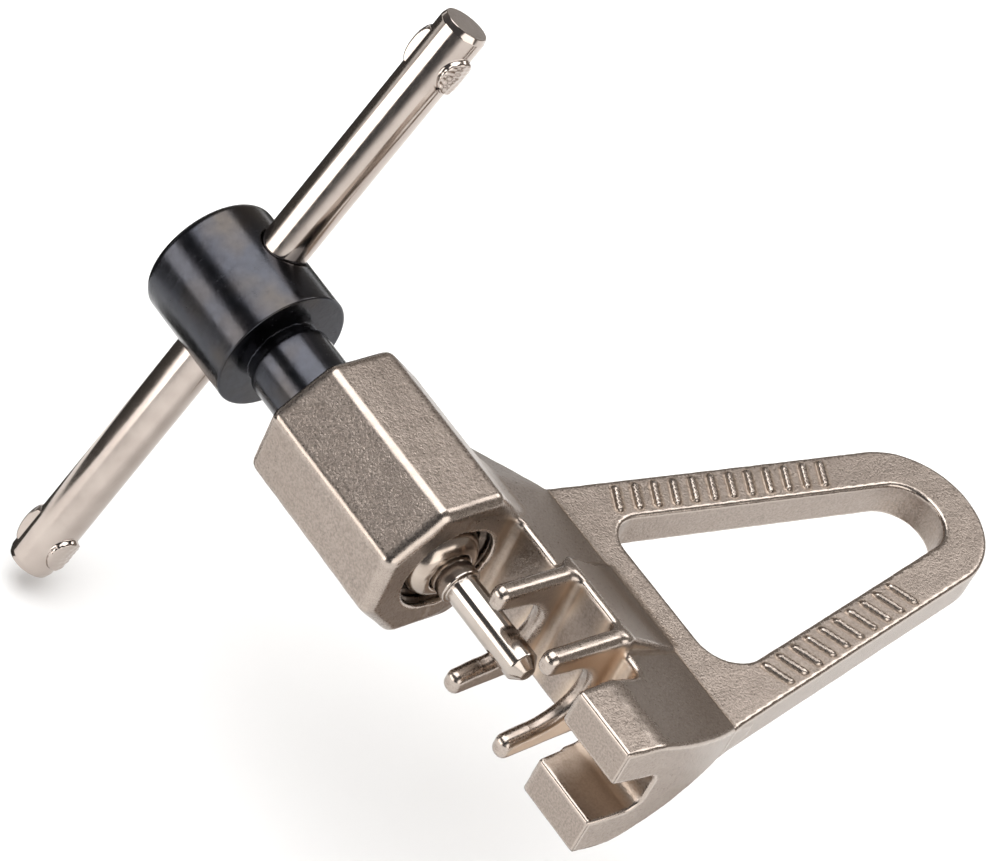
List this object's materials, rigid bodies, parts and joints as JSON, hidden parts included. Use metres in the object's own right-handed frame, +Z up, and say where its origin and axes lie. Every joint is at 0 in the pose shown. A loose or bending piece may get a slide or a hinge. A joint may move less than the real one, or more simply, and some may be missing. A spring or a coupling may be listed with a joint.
{
  "type": "chain tool",
  "caption": "Compact chain tool: a cast frame with a roller cradle, slotted anvil and loop handle, and a screw with a sliding T-bar that pushes a hard pin through the cradle.",
  "frame": {"origin": "on the screw axis at the middle of the inner shelf, which is the centre of its roller notch and a point on the drive pin", "axes": "+X along the screw axis towards the drive pin's tip, +Y towards the loop handle, +Z up, square to the flat loop"},
  "size_m": [0.0678, 0.0725, 0.0663],
  "materials": {
    "satin_nickel": "warm satin nickel plate over a fine-grained steel casting",
    "black_oxide": "oiled black oxide on turned steel",
    "bright_nickel": "bright nickel plate on drawn steel bar",
    "pin_steel": "polished hardened steel"
  },
  "bodies": {
    "frame": {"frame_casting": "satin_nickel"},
    "pin": {"drive_pin": "pin_steel"},
    "screw": {"screw": "black_oxide", "pin_retainer": "bright_nickel"},
    "bar": {"t_bar": "bright_nickel"}
  },
  "joints": [
    {"name": "pin_advance", "type": "slide", "parent": "frame", "child": "pin", "axis": [1, 0, 0], "range_m": [-0.013, 0.008]},
    {"name": "screw_turn", "type": "hinge", "parent": "pin", "child": "screw", "pos_m": [0, 0, 0], "axis": [1, 0, 0], "range_deg": [-3742, 2302]},
    {"name": "bar_slide", "type": "slide", "parent": "screw", "child": "bar", "axis": [0, 0.3843, 0.9232], "range_m": [-0.0213, 0.0228]}
  ],
  "couplings": [
    {"joint": "pin_advance", "follows": "screw_turn", "m_per_rad": 0.00019894}
  ]
}
